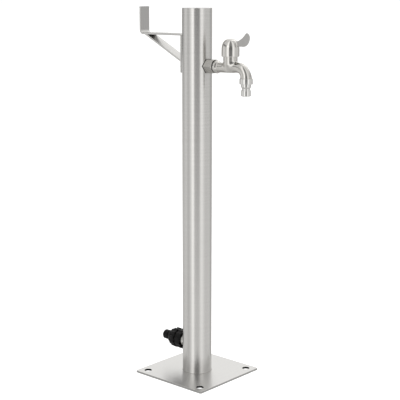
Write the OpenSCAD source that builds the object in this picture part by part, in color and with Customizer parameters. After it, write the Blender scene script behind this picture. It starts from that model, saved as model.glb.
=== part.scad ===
// Garden standpipe: a stainless column on a bolt-down plate, with a bib tap,
// a hose hanger and a quick-connect inlet. Millimetres, +Z up, origin at the
// middle of the plate's underside. The tap points along -Y, the hanger and
// the inlet along +Y.

/* [Column and plate] */
// Overall height of the column, from the floor to the top of its cap
column_h = 950; // [800:10:1100]
// Outside diameter of the column tube
column_d = 76; // [74:0.5:78]
// Wall thickness of the column tube
column_wall = 1.5; // [1.2:0.1:2]
// Side of the square base plate
plate_w = 230; // [200:5:260]
// Thickness of the base plate
plate_t = 5; // [2.5:0.5:6]
// Corner radius of the base plate
plate_corner = 4; // [2:1:12]
// Distance between neighbouring ground bolt holes
bolt_spacing = 184; // [160:2:196]
// Diameter of the ground bolt holes
bolt_hole_d = 19; // [8:1:22]

/* [Tap] */
// Depth of the tap's axis below the column's top
tap_drop = 142; // [120:1:200]
// Distance from the column's axis to the axis of the handle
handle_reach = 109; // [107:0.5:112]
// Outside radius of the handle's dome
dome_r = 22.1; // [21.6:0.1:24]
// Thickness of the lever leaf
lever_t = 4; // [3:0.5:6]

/* [Hose hanger] */
// Width of the hanger's flat bar
bar_w = 32; // [20:1:34]
// Length of the arm, from the column's axis to the outer face of the upturn
arm_reach = 186.5; // [160:0.5:220]
// Height of the arm's upper face below the column's top
arm_drop = 64; // [60:1:70]
// Height of the upturned end above the arm's upper face
upturn_h = 66; // [40:1:90]

/* [Inlet] */
// Height of the inlet's axis above the floor
inlet_z = 78; // [70:1:110]
// Number of grip lugs on the inlet coupling
lug_count = 12; // [8:1:14]
// Radius of the inlet nipple that a quick-connect socket grips
inlet_nipple_r = 12.6; // [12:0.1:12.9]

/* [Hidden] */
$fn = 64;

steel = [0.76, 0.755, 0.74];
bright = [0.84, 0.84, 0.83];
cast = [0.71, 0.70, 0.68];
brass = [0.80, 0.64, 0.36];
black = [0.07, 0.07, 0.07];
rubber = [0.10, 0.10, 0.10];
braid = [0.66, 0.67, 0.68];
ceramic = [0.93, 0.92, 0.88];

col_r = column_d / 2;
in_r = col_r - column_wall;
cap_t = 2;
tap_z = column_h - tap_drop;
hy = -handle_reach;
arm_top = column_h - arm_drop;
arm_t = 5;
bend_r = arm_t + 2;
strap_y = col_r + 0.1;
strap_low = arm_top - 97.5;
stud_high = arm_top - 29.5;
stud_low = arm_top - 83.5;
brace_foot = arm_top - 69.5;
brace_root = strap_y + arm_t;
brace_tip = arm_reach - 18;
brace_h = 5.3;
brace_k = (arm_top - arm_t - brace_foot) / (brace_tip - brace_root);
end_in_r = 7;
adapter_af = 33;
seal_r = 16.3;
hex_y = -61.2;
seal_t = 2.1;
saddle_r = col_r + 1.2;
thread_r = 10.4;
spout_r = 25;
spout_y = hy - 49.7;
nut_z = tap_z - 24.5;
bend_z = nut_z - 1;
dome_low = tap_z + 26.4;
skirt_top = tap_z + 41;
dome_b = 28.9;
neck_r = 17.7;
inlet_r = 16.6;
riser_top = tap_z - 27;
riser_bottom = inlet_z + 27;

// solid cylinder along +Y, from y0 to y1
module ycyl(r, y0, y1, z = 0, x = 0) translate([x, y0, z]) rotate([-90, 0, 0]) cylinder(r = r, h = y1 - y0);
module ycone(ra, rb, y0, y1, z = 0) translate([0, y0, z]) rotate([-90, 0, 0]) cylinder(r1 = ra, r2 = rb, h = y1 - y0);
module yhex(af, y0, y1, z = 0) translate([0, y0, z]) rotate([-90, 0, 0]) cylinder(r = af / 2 / cos(30), h = y1 - y0, $fn = 6);
module zcyl(r, z0, z1, x = 0, y = 0) translate([x, y, z0]) cylinder(r = r, h = z1 - z0);
module zcone(ra, rb, z0, z1, x = 0, y = 0) translate([x, y, z0]) cylinder(r1 = ra, r2 = rb, h = z1 - z0);
module zhex(af, z0, z1, y = 0) translate([0, y, z0]) rotate([0, 0, 30]) cylinder(r = af / 2 / cos(30), h = z1 - z0, $fn = 6);
module zring(ro, ri, z0, z1, y = 0) difference() {
  zcyl(ro, z0, z1, 0, y);
  zcyl(ri, z0 - 1, z1 + 1, 0, y);
}
module yring(ro, ri, y0, y1, z = 0) difference() {
  ycyl(ro, y0, y1, z);
  ycyl(ri, y0 - 1, y1 + 1, z);
}
// outline drawn in the Y-Z plane and given a width along X
module side_extrude(w) rotate([90, 0, 90]) translate([0, 0, -w / 2]) linear_extrude(height = w) children();
// quarter of a bent bar, drawn as an outline
module quarter_bend(c, ri, ro, q) intersection() {
  translate(c) difference() {
    circle(r = ro);
    circle(r = ri);
  }
  translate([c[0] + (q[0] > 0 ? 0 : -ro - 1), c[1] + (q[1] > 0 ? 0 : -ro - 1)]) square(ro + 1);
}
function bez(a, b, c, d, t) = pow(1 - t, 3) * a + 3 * pow(1 - t, 2) * t * b + 3 * (1 - t) * t * t * c + t * t * t * d;

// ---------------------------------------------------------------- column
module base_plate() color(steel) difference() {
  union() {
    translate([-plate_w / 2, -plate_w / 2 + plate_corner, 0]) cube([plate_w, plate_w - 2 * plate_corner, plate_t]);
    translate([-plate_w / 2 + plate_corner, -plate_w / 2, 0]) cube([plate_w - 2 * plate_corner, plate_w, plate_t]);
    for (x = [-1, 1], y = [-1, 1]) zcyl(plate_corner, 0, plate_t, x * (plate_w / 2 - plate_corner), y * (plate_w / 2 - plate_corner));
  }
  for (x = [-1, 1], y = [-1, 1]) zcyl(bolt_hole_d / 2, -1, plate_t + 1, x * bolt_spacing / 2, y * bolt_spacing / 2);
}

module base_weld() color(steel) rotate_extrude()
  polygon([[col_r + 0.02, plate_t], [col_r + 1.2, plate_t], [col_r + 0.02, plate_t + 1.2]]);

module column_tube() color(steel) difference() {
  zcyl(col_r, plate_t, column_h - cap_t);
  zcyl(in_r, plate_t - 1, column_h);
  ycyl(10.7, -col_r - 5, -in_r / 2, tap_z);
  ycyl(inlet_r + 0.1, in_r / 2, col_r + 5, inlet_z);
}

// pressed cap: flat top with a rounded rim and a skirt inside the tube
module top_cap() color(steel) translate([0, 0, column_h - cap_t]) union() {
  rotate_extrude() intersection() {
    union() {
      square([col_r - 1.2, cap_t]);
      square([col_r, cap_t - 1.2]);
      translate([col_r - 1.2, cap_t - 1.2]) circle(r = 1.2);
    }
    square([col_r + 1, cap_t + 1]);
  }
  rotate_extrude() translate([in_r - 1.55, -12]) square([1.5, 12.5]);
}

// ---------------------------------------------------------------- hanger
module hanger_strap() {
  yb = strap_y + bend_r;
  ye = arm_reach - arm_t - end_in_r;
  color(steel) difference() {
    side_extrude(bar_w) union() {
      translate([strap_y, strap_low]) square([arm_t, arm_top - bend_r - strap_low]);
      quarter_bend([yb, arm_top - bend_r], 2, bend_r, [-1, 1]);
      translate([yb, arm_top - arm_t]) square([ye - yb, arm_t]);
      quarter_bend([ye, arm_top + end_in_r], end_in_r, end_in_r + arm_t, [1, -1]);
      translate([arm_reach - arm_t, arm_top + end_in_r]) square([arm_t, upturn_h - end_in_r]);
    }
    for (z = [stud_high, stud_low]) ycyl(3.3, strap_y - 1, strap_y + arm_t + 1, z);
    for (s = [-1, 1]) translate([s * bar_w / 2, arm_reach, arm_top + upturn_h]) difference() {
      translate([-2, -arm_t - 1, -2]) cube([4, arm_t + 2, 4]);
      ycyl(2, -arm_t - 2, 2, -2, -s * 2);
    }
  }
}

module hanger_brace() color(steel) side_extrude(bar_w)
  polygon([[brace_root, brace_foot], [brace_tip, arm_top - arm_t], [brace_tip - brace_h / brace_k, arm_top - arm_t], [brace_root, brace_foot + brace_h]]);

module hanger_welds() color(steel) {
  side_extrude(bar_w - 4) polygon([[brace_root, brace_foot - 0.04], [brace_root, brace_foot - 2.5], [brace_root + 2, brace_foot - 0.04 + 2 * brace_k]]);
  side_extrude(bar_w - 4) polygon([[brace_tip + 0.08, arm_top - arm_t], [brace_tip + 3.4, arm_top - arm_t], [brace_tip - 1.8, arm_top - arm_t - 0.04 - 1.8 * brace_k]]);
}

module hanger_studs() color(bright) for (z = [stud_high, stud_low]) ycyl(2.95, col_r - 0.02, strap_y + arm_t + 8.5, z);

module hanger_washers() color(bright) for (z = [stud_high, stud_low]) yring(6.25, 3.2, strap_y + arm_t, strap_y + arm_t + 1.2, z);

// domed cap nut across a washer
module cap_nut(y, z) difference() {
  union() {
    intersection() {
      yhex(10, y, y + 5.2, z);
      union() {
        ycone(5.25, 5.85, y, y + 0.5, z);
        ycyl(5.85, y + 0.5, y + 4.6, z);
        ycone(5.85, 5.0, y + 4.6, y + 5.2, z);
      }
    }
    ycyl(4.6, y + 5, y + 7.6, z);
    translate([0, y + 7.6, z]) sphere(r = 4.6);
  }
  ycyl(3.0, y - 1, y + 8.6, z);
}
module hanger_cap_nuts() color(bright) for (z = [stud_high, stud_low]) cap_nut(strap_y + arm_t + 1.2, z);

// ---------------------------------------------------------------- outlet through the wall
module saddle(r) translate([0, 0, tap_z - 30]) cylinder(r = r, h = 60, $fn = 240);
module outlet_gasket() color(rubber) difference() {
  intersection() {
    yhex(adapter_af + 0.8, -saddle_r - 2, -col_r + 10, tap_z);
    saddle(saddle_r);
  }
  saddle(col_r + 0.02);
  ycyl(10.72, -col_r - 5, 0, tap_z);
}

module outlet_adapter() color(cast) difference() {
  union() {
    difference() {
      intersection() {
        yhex(adapter_af, hex_y, -30, tap_z);
        union() {
          ycone(16.5, 19.2, hex_y, hex_y + 1.6, tap_z);
          ycyl(19.2, hex_y + 1.6, -30, tap_z);
        }
      }
      saddle(saddle_r);
    }
    ycyl(thread_r, -saddle_r - 2, -15, tap_z);
  }
  ycyl(thread_r + 0.06, hex_y - 1, -45.5, tap_z);
  ycyl(6.5, -50, -14, tap_z);
}

// washer that follows the inside of the tube wall
module outlet_saddle_washer() color(bright) difference() {
  intersection() {
    ycyl(15, -col_r, -31.5, tap_z);
    zcyl(in_r - 0.03, tap_z - 20, tap_z + 20);
  }
  ycyl(10.7, -col_r - 1, -30, tap_z);
}

module outlet_locknut() color(brass) difference() {
  yhex(26, -31.5, -26.5, tap_z);
  ycyl(thread_r + 0.06, -33, -25, tap_z);
}

module outlet_elbow() color(brass) difference() {
  union() {
    ycyl(13.2, -25.5, -12, tap_z);
    ycone(13.2, 9.5, -12, -8, tap_z);
    ycyl(9.5, -8.5, 0, tap_z);
    translate([0, 0, tap_z]) sphere(r = 9.5);
    zcyl(8.3, riser_top, tap_z);
  }
  ycyl(thread_r + 0.06, -26, -14.5, tap_z);
  ycyl(6, -15, 0, tap_z);
  zcyl(5, riser_top - 1, tap_z);
}

// ---------------------------------------------------------------- tap
module tap_sealing_ring() color(rubber) yring(seal_r, 10.6, hex_y - seal_t, hex_y, tap_z);

// quarter bend of the outlet, from level at the top to upright above the nut
module spout_bend(r, a = 90) translate([0, spout_y + spout_r, bend_z]) rotate([90, 0, 90]) rotate([0, 0, 90]) rotate_extrude(angle = a) translate([spout_r, 0]) circle(r = r);

module tap_body() color(cast) difference() {
  union() {
    ycyl(thread_r, hex_y - seal_t - 0.5, -46, tap_z);
    ycyl(16.5, hex_y - seal_t - 1.7, hex_y - seal_t, tap_z);
    ycone(12.6, 15.9, -75.5, hex_y - seal_t - 1.6, tap_z - 0.6);
    ycyl(12.7, spout_y + spout_r - 0.8, hex_y - seal_t - 2, bend_z + spout_r);
    translate([0, hy, tap_z + 1.5]) sphere(r = 14.6);
    zcyl(neck_r, tap_z + 8, tap_z + 30, 0, hy);
    zcone(12.3, neck_r, tap_z + 1, tap_z + 8, 0, hy);
    difference() {
      spout_bend(12.9);
      translate([-20, hy - 80, nut_z - 40]) cube([40, 80, 40]);
    }
    zcone(14.6, 12.4, nut_z, nut_z + 6.5, 0, spout_y + 0.4);
    zcyl(13.2, nut_z - 8, nut_z + 0.1, 0, spout_y);
  }
  // water way in, seat, cartridge chamber, thread of the headwork
  ycyl(6, hy - 4, -45, tap_z - 2.5);
  zcyl(5.5, tap_z - 2.5, tap_z + 6, 0, hy);
  zcyl(12, tap_z + 4, tap_z + 22, 0, hy);
  zcyl(10.96, tap_z + 21, tap_z + 31, 0, hy);
  // outlet way over the seat and down the bend
  translate([0, hy - 11.2, tap_z + 9.2]) rotate([122, 0, 0]) cylinder(r = 4.4, h = 18);
  spout_bend(7);
  zcyl(7.5, nut_z - 9, nut_z + 6, 0, spout_y);
}

module cartridge_body() color(brass) difference() {
  union() {
    zcyl(10.2, tap_z + 6.2, tap_z + 20, 0, hy);
    zcyl(10.9, tap_z + 20, tap_z + 30, 0, hy);
    zhex(24, tap_z + 30.05, tap_z + 34, hy);
    zcyl(9, tap_z + 29.5, tap_z + 31, 0, hy);
    zcyl(7.6, tap_z + 33, tap_z + 42, 0, hy);
  }
  zcyl(8.6, tap_z + 5, tap_z + 18.6, 0, hy);
  zcyl(5, tap_z + 18, tap_z + 43, 0, hy);
  zcyl(6.4, tap_z + 24, tap_z + 26.4, 0, hy);
  translate([-15, hy - 4, tap_z + 12.6]) cube([30, 8, 5.4]);
}

module cartridge_seal() color(rubber) zring(8.5, 5.6, tap_z + 4, tap_z + 6.4, hy);

module ceramic_disc_fixed() color(ceramic) difference() {
  zcyl(8.54, tap_z + 6.45, tap_z + 9.4, 0, hy);
  for (s = [-1, 1]) zcyl(2.2, tap_z + 6, tap_z + 10, s * 4.6, hy);
}

module ceramic_disc_moving() color(ceramic) difference() {
  zcyl(8.5, tap_z + 9.45, tap_z + 12.2, 0, hy);
  for (s = [-1, 1]) zcyl(2.4, tap_z + 9, tap_z + 13, 0, hy + s * 4.6);
  translate([-6.05, hy - 1.55, tap_z + 11.2]) cube([12.1, 3.1, 2]);
}

module cartridge_spindle() color(brass) difference() {
  union() {
    translate([-6, hy - 1.5, tap_z + 11.3]) cube([12, 3, 2]);
    zcyl(8.5, tap_z + 12.3, tap_z + 14, 0, hy);
    zcyl(6, tap_z + 13.9, tap_z + 16, 0, hy);
    zcyl(8.5, tap_z + 16, tap_z + 18.4, 0, hy);
    zcyl(4.95, tap_z + 18, tap_z + 44.6, 0, hy);
    translate([-3.4, hy - 3.4, tap_z + 44.5]) cube([6.8, 6.8, 9]);
  }
  zring(6, 4.1, tap_z + 42.2, tap_z + 43.2, hy);
}

module spindle_o_ring() color(rubber) zring(6.35, 5.0, tap_z + 24.1, tap_z + 26.3, hy);

module spindle_clip() color(bright) difference() {
  zring(6.6, 4.15, tap_z + 42.3, tap_z + 43.1, hy);
  translate([-1.8, hy, tap_z + 42]) cube([3.6, 8, 2]);
}

// the leaf's outline: distance from the handle's axis, height above the tap's axis
function lever_side(n = 9) = concat(
  [for (i = [0 : n]) let (t = i / n) bez([16, 60.5], [26, 62], [38, 69], [47.9, 82.1], t)],
  [for (i = [1 : n]) let (t = i / n) bez([47.9, 82.1], [51, 85], [58, 82], [59.7, 73], t)],
  [for (i = [1 : n]) let (t = i / n) bez([59.7, 73], [60.2, 64.5], [52.5, 51.8], [41.8, 51.2], t)],
  [[16, 51.3]]);

// full-shouldered dome: a superellipse
function dome_side(a, b) = [for (i = [1 : 17]) [a * pow(cos(i * 5), 0.82), skirt_top + b * pow(sin(i * 5), 0.82)]];

module tap_handle() color(bright) difference() {
  union() {
    rotate_at_handle() polygon(concat(
      [[0, skirt_top - 5], [dome_r, dome_low + 0.8], [dome_r, skirt_top]],
      dome_side(dome_r, dome_b),
      [[0, skirt_top + dome_b]]));
    rotate_at_handle() polygon([[dome_r - 5, dome_low], [dome_r - 0.6, dome_low], [dome_r, dome_low + 0.8], [dome_r, skirt_top], [dome_r - 5, skirt_top]]);
    side_extrude(lever_t) polygon([for (p = lever_side()) [hy - p[0], tap_z + p[1]]]);
  }
  // hollow underside, with the hub and the screw's boss left standing
  difference() {
    rotate_at_handle() polygon(concat(
      [[0, dome_low - 1], [dome_r - 2, dome_low - 1], [dome_r - 2, skirt_top]],
      dome_side(dome_r - 2, dome_b - 3),
      [[0, skirt_top + dome_b - 3]]));
    zcyl(8.4, tap_z + 44.9, tap_z + 70, 0, hy);
    ycyl(4.4, hy, hy + dome_r - 1, tap_z + 50);
  }
  translate([-3.45, hy - 3.45, tap_z + 43]) cube([6.9, 6.9, 10.7]);
  ycyl(2.06, hy + 3, hy + dome_r + 3, tap_z + 50);
}
module rotate_at_handle() translate([0, hy, 0]) rotate_extrude() children();

module handle_grub_screw() color(black) difference() {
  ycyl(2.0, hy + 3.42, hy + 13.5, tap_z + 50);
  translate([0, hy + 11.5, tap_z + 50]) rotate([-90, 0, 0]) cylinder(r = 1.15, h = 3, $fn = 6);
}

module spout_washer() color(rubber) zring(13.1, 8.2, nut_z - 10.05, nut_z - 8.05, spout_y);

module spout_union_nut() color(bright) difference() {
  rotate_at_spout() polygon([[0, nut_z - 13.5], [15.8, nut_z - 13.5], [16.4, nut_z - 12.9], [16.4, nut_z - 0.6], [15.8, nut_z], [0, nut_z]]);
  zcyl(13.26, nut_z - 11.9, nut_z + 1, 0, spout_y);
  zcyl(12.5, nut_z - 14, nut_z - 11, 0, spout_y);
}
module rotate_at_spout() translate([0, spout_y, 0]) rotate_extrude() children();

module quick_nipple() color(bright) difference() {
  rotate_at_spout() polygon([[0, nut_z - 10.1], [13.2, nut_z - 10.1], [13.2, nut_z - 11.8], [12.44, nut_z - 11.8], [12.44, nut_z - 20.6], [11.2, nut_z - 22.1],
    [10.2, nut_z - 23.9], [10.2, nut_z - 26.1], [11.0, nut_z - 27.8], [12, nut_z - 29.2],
    [12, nut_z - 41.7], [11.1, nut_z - 42.6], [0, nut_z - 42.6]]);
  zcyl(6.5, nut_z - 45, nut_z, 0, spout_y);
}

// ---------------------------------------------------------------- riser inside the column
// the same fittings close both ends of the hose: s = 1 draws the upper end
module riser_end(s) translate([0, 0, s > 0 ? riser_top : riser_bottom]) scale_z(s) children();
module scale_z(s) {
  if (s > 0) children();
  if (s < 0) mirror([0, 0, 1]) children();
}

module riser_nuts() color(brass) for (s = [-1, 1]) riser_end(s) difference() {
  zhex(21, -4.8, 10.5);
  zcyl(8.36, -2.4, 11);
  zcyl(6.2, -6, 0);
}
module riser_seals() color(rubber) for (s = [-1, 1]) riser_end(s) zring(8.2, 4.6, -1.15, -0.05);
module riser_tails() color(brass) for (s = [-1, 1]) riser_end(s) difference() {
  union() {
    zcyl(8.2, -2.35, -1.2);
    zcyl(6.1, -9.6, -2.3);
    zcyl(4.0, -34, -9.5);
  }
  zcyl(3, -35, 0);
}
module riser_ferrules() color(bright) for (s = [-1, 1]) riser_end(s) difference() {
  zcyl(8.2, -38, -9.65);
  zcyl(6.55, -39, -11.2);
  zcyl(4.05, -12, -9);
}
module riser_hose() color(braid) zring(6.5, 4.05, riser_bottom + 11.3, riser_top - 11.3);

// ---------------------------------------------------------------- inlet through the wall
module inlet_elbow() color(brass) difference() {
  union() {
    ycyl(thread_r, 16, 31, inlet_z);
    yhex(23, 9, 16.5, inlet_z);
    ycyl(9.5, 0, 10, inlet_z);
    translate([0, 0, inlet_z]) sphere(r = 9.5);
    zcyl(8.3, inlet_z, riser_bottom);
  }
  ycyl(6, 0, 32, inlet_z);
  zcyl(5, inlet_z, riser_bottom + 1);
}

module inlet_stub() color(steel) difference() {
  union() {
    ycyl(inlet_r, 17, 59.4, inlet_z);
    ycone(inlet_r, inlet_r - 0.6, 59.4, 60, inlet_z);
  }
  ycyl(thread_r + 0.06, 16, 32, inlet_z);
  ycyl(8, 31, 61, inlet_z);
}

module inlet_weld() color(steel) intersection() {
  difference() {
    ycyl(inlet_r + 1.6, 25, 45, inlet_z);
    ycyl(inlet_r + 0.03, 24, 46, inlet_z);
  }
  difference() {
    zcyl(col_r + 1.3, inlet_z - 25, inlet_z + 25);
    zcyl(col_r + 0.02, inlet_z - 26, inlet_z + 26);
  }
}

module coupling_washer() color(rubber) yring(16.2, 8.6, 60.05, 62.9, inlet_z);

// ring of grip lugs along the coupling
module lugs(r, lug_r, y0, y1) translate([0, y0, inlet_z]) rotate([-90, 0, 0]) linear_extrude(height = y1 - y0) union() {
  circle(r = r);
  for (i = [0 : lug_count - 1]) rotate((i + 0.5) * 360 / lug_count) translate([r - lug_r * 0.45, 0]) circle(r = lug_r, $fn = 32);
}

module coupling_collar() color(black) difference() {
  union() {
    intersection() {
      lugs(24.2, 3.1, 43, 78.5);
      union() {
        ycone(24.6, 26, 43, 44.5, inlet_z);
        ycyl(26, 44.5, 60, inlet_z);
        ycyl(23.2, 59.9, 63.1, inlet_z);
        ycyl(26.1, 63, 76.5, inlet_z);
        ycone(26.1, 22.9, 76.5, 77.6, inlet_z);
      }
    }
    ycyl(21, 77, 79, inlet_z);
    ycyl(22.3, 78.6, 84.4, inlet_z);
    ycone(22.3, 20, 84.4, 86.3, inlet_z);
    ycone(20, 15.2, 86.3, 90, inlet_z);
  }
  ycyl(inlet_r + 0.06, 42, 66.1, inlet_z);
  ycyl(13.2, 65, 91, inlet_z);
}

module coupling_nipple() color(black) difference() {
  union() {
    ycyl(16.4, 63, 66, inlet_z);
    ycyl(13, 65.9, 94, inlet_z);
    ycyl(11, 93.9, 98.6, inlet_z);
    ycyl(inlet_nipple_r, 98.5, 112.9, inlet_z);
    ycone(inlet_nipple_r, inlet_nipple_r - 1, 112.9, 114.1, inlet_z);
  }
  ycyl(6.5, 62, 115, inlet_z);
  difference() {
    ycyl(inlet_nipple_r + 1, 104.5, 107.1, inlet_z);
    ycyl(inlet_nipple_r - 2.5, 104, 108, inlet_z);
  }
}

module coupling_o_ring() color(rubber) translate([0, 105.8, inlet_z]) rotate([-90, 0, 0]) rotate_extrude() translate([inlet_nipple_r - 1.25, 0]) circle(r = 1.2);

base_plate();
base_weld();
column_tube();
top_cap();
hanger_strap();
hanger_brace();
hanger_welds();
hanger_studs();
hanger_washers();
hanger_cap_nuts();
outlet_gasket();
outlet_adapter();
outlet_saddle_washer();
outlet_locknut();
outlet_elbow();
tap_sealing_ring();
tap_body();
cartridge_body();
cartridge_seal();
ceramic_disc_fixed();
spindle_o_ring();
spout_washer();
spout_union_nut();
quick_nipple();
riser_nuts();
riser_seals();
riser_tails();
riser_ferrules();
riser_hose();
inlet_elbow();
inlet_stub();
inlet_weld();
coupling_washer();
coupling_collar();
coupling_nipple();
coupling_o_ring();
ceramic_disc_moving();
cartridge_spindle();
spindle_clip();
tap_handle();
handle_grub_screw();
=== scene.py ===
import math

import bmesh
import bpy
import numpy as np
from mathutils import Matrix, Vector


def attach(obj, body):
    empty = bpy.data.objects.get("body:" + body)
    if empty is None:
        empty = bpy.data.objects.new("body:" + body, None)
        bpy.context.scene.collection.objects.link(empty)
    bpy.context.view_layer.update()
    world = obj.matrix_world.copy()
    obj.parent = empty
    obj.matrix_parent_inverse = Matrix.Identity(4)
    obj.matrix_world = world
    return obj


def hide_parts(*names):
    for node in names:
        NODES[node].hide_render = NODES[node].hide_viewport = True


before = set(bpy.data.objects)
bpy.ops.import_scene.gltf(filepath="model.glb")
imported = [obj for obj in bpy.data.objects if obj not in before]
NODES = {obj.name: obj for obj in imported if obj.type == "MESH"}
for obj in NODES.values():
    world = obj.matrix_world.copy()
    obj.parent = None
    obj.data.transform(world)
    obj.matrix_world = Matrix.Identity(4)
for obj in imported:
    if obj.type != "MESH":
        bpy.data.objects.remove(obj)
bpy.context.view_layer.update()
MM = 0.001
ROOT, TURN = "standpipe", "handle_set"


# ------------------------------------------------------------------ camera
# Measured from the column's edges and the plate's corners: about 2.6 m away, level with the column's top.
cam_data = bpy.data.cameras.new("camera")
cam = bpy.data.objects.new("camera", cam_data)
bpy.context.scene.collection.objects.link(cam)
PITCH = 0.1988
SIDE = Vector((0.74551, 0.66649, 0.0))
cam.location = (-1.9525, -1.7456, 0.9912)
look = Vector((SIDE.x * math.cos(PITCH), SIDE.y * math.cos(PITCH), -math.sin(PITCH)))
cam.rotation_mode = "QUATERNION"
cam.rotation_quaternion = look.to_track_quat("-Z", "Y")
cam_data.sensor_width = 36.0
cam_data.lens = 1038.198 / 400 * 36.0
cam_data.shift_x = 0.0072
cam_data.clip_start = 0.05
cam_data.clip_end = 400.0
bpy.context.scene.camera = cam


# ------------------------------------------------------------------ node graph helpers
class Graph:
    """Short calls for building one material's node tree."""

    def __init__(self, name):
        self.mat = bpy.data.materials.new(name)
        self.mat.use_nodes = True
        self.nt = self.mat.node_tree
        self.nt.nodes.clear()
        self.out = self.nt.nodes.new("ShaderNodeOutputMaterial")
        self.bsdf = self.nt.nodes.new("ShaderNodeBsdfPrincipled")
        self.nt.links.new(self.bsdf.outputs[0], self.out.inputs["Surface"])
        self.coord = None

    def node(self, kind, **values):
        n = self.nt.nodes.new(kind)
        for k, v in values.items():
            setattr(n, k, v)
        return n

    def put(self, socket, value):
        if hasattr(value, "is_output"):
            self.nt.links.new(value, socket)
        else:
            socket.default_value = value

    def place(self):
        if self.coord is None:
            self.coord = self.node("ShaderNodeTexCoord").outputs["Object"]
        return self.coord

    def scaled(self, scale, rotation=(0, 0, 0)):
        m = self.node("ShaderNodeMapping")
        self.put(m.inputs["Vector"], self.place())
        m.inputs["Scale"].default_value = scale
        m.inputs["Rotation"].default_value = rotation
        return m.outputs[0]

    def noise(self, scale, detail=3.0, rough=0.55, vector=None, size=1.0, rotation=(0, 0, 0)):
        n = self.node("ShaderNodeTexNoise")
        self.put(n.inputs["Vector"], vector if vector is not None else self.scaled(scale, rotation))
        n.inputs["Scale"].default_value = size
        n.inputs["Detail"].default_value = detail
        n.inputs["Roughness"].default_value = rough
        return n.outputs["Fac"]

    def span(self, value, a, b, lo, hi, smooth=False):
        n = self.node("ShaderNodeMapRange")
        if smooth:
            n.interpolation_type = "SMOOTHSTEP"
        self.put(n.inputs["Value"], value)
        for k, v in zip(("From Min", "From Max", "To Min", "To Max"), (a, b, lo, hi)):
            n.inputs[k].default_value = v
        return n.outputs[0]

    def maths(self, op, a, b=0.0, c=None):
        n = self.node("ShaderNodeMath", operation=op)
        self.put(n.inputs[0], a)
        self.put(n.inputs[1], b)
        if c is not None:
            self.put(n.inputs[2], c)
        return n.outputs[0]

    def blend(self, factor, a, b):
        n = self.node("ShaderNodeMix", data_type="RGBA")
        self.put(n.inputs[0], factor)
        self.put(n.inputs[6], a)
        self.put(n.inputs[7], b)
        return n.outputs[2]

    def bump(self, height, strength, distance, normal=None):
        n = self.node("ShaderNodeBump")
        n.inputs["Strength"].default_value = strength
        n.inputs["Distance"].default_value = distance
        self.put(n.inputs["Height"], height)
        if normal is not None:
            self.put(n.inputs["Normal"], normal)
        return n.outputs[0]

    def set(self, **values):
        for k, v in values.items():
            self.put(self.bsdf.inputs[k.replace("_", " ")], v)


def rgba(c):
    return (c[0], c[1], c[2], 1.0)


def brushed(name, base, rough, grain, coarse, aniso=0.0, tangent=None, turn=0.0, spread=0.03, wear=0.03, bump=0.12, pit=0.0):
    """Brushed or satin metal: fine lines along the grain, broad handling marks, a little colour change."""
    g = Graph(name)
    fine = g.noise(grain, 4.0, 0.6)
    broad = g.noise(coarse, 2.0, 0.5)
    marks = g.noise((9, 9, 7), 3.0, 0.6)
    tint = g.span(broad, 0.35, 0.65, -1.0, 1.0)
    tint = g.maths("MULTIPLY_ADD", g.span(fine, 0.3, 0.7, -1.0, 1.0), 0.6, tint)
    shade = g.span(tint, -1.6, 1.6, 0.0, 1.0)
    g.set(Base_Color=g.blend(shade, rgba([v * (1 - spread) for v in base]), rgba([min(1.0, v * (1 + spread)) for v in base])))
    r = g.maths("MULTIPLY_ADD", g.span(fine, 0.25, 0.75, -1.0, 1.0), wear * 0.6, g.span(marks, 0.3, 0.7, rough - wear, rough + wear))
    g.set(Roughness=r, Metallic=1.0)
    height = fine
    if pit:
        height = g.maths("MULTIPLY_ADD", g.noise((1, 1, 1), 2.0, 0.5, size=1500), pit, fine)
    g.set(Normal=g.bump(height, bump, 0.00006))
    if aniso:
        t = g.node("ShaderNodeTangent")
        t.direction_type = "RADIAL"
        t.axis = tangent or "Z"
        g.set(Tangent=t.outputs[0])
        g.bsdf.inputs["Anisotropic"].default_value = aniso
        g.bsdf.inputs["Anisotropic Rotation"].default_value = turn
    return g.mat


MAT = {}
MAT["seam"] = brushed("weld_dressed", (0.40, 0.39, 0.375), 0.42, (900, 900, 900), (90, 90, 90), spread=0.08, wear=0.05, bump=0.2)
MAT["edge"] = brushed("plate_edge", (0.40, 0.396, 0.388), 0.4, (300, 300, 2600), (60, 60, 600), spread=0.06, wear=0.04, bump=0.1)
# near-black base colour for the bolt holes' walls: painted shade
MAT["cut"] = brushed("hole_wall_painted_shade", (0.014, 0.014, 0.0135), 0.5, (300, 300, 3000), (60, 60, 600), spread=0.2, wear=0.05, bump=0.2)
MAT["column"] = brushed("column_brushed", (0.62, 0.612, 0.598), 0.24, (14, 14, 2600), (3, 3, 260), aniso=0.85, tangent="Z", turn=0.25, spread=0.035, wear=0.02, bump=0.08)
MAT["plate"] = brushed("plate_satin", (0.70, 0.695, 0.682), 0.31, (16, 2200, 900), (4, 240, 240), spread=0.012, wear=0.012, bump=0.02)
MAT["hanger"] = brushed("hanger_satin", (0.60, 0.594, 0.582), 0.27, (2400, 22, 22), (260, 6, 6), spread=0.03, wear=0.03, bump=0.10)
# darker copy of the hanger's steel for the upturned end's inner face: painted shade
MAT["hanger_dull"] = brushed("hanger_inner_face_painted_shade", (0.455, 0.45, 0.442), 0.30, (2400, 22, 22), (260, 6, 6), spread=0.03, wear=0.03, bump=0.10)
MAT["fastener"] = brushed("fastener_bright", (0.64, 0.635, 0.625), 0.2, (900, 900, 900), (120, 120, 120), spread=0.02, wear=0.03, bump=0.05)
MAT["cast"] = brushed("tap_satin", (0.61, 0.598, 0.572), 0.165, (700, 900, 700), (60, 60, 60), spread=0.03, wear=0.03, bump=0.10, pit=0.5)
MAT["hex"] = brushed("adapter_satin", (0.52, 0.508, 0.485), 0.26, (1200, 60, 1200), (90, 20, 90), spread=0.04, wear=0.03, bump=0.12)
MAT["dome"] = brushed("handle_polished", (0.64, 0.628, 0.605), 0.13, (700, 700, 700), (60, 60, 60), spread=0.02, wear=0.02, bump=0.04)
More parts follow.
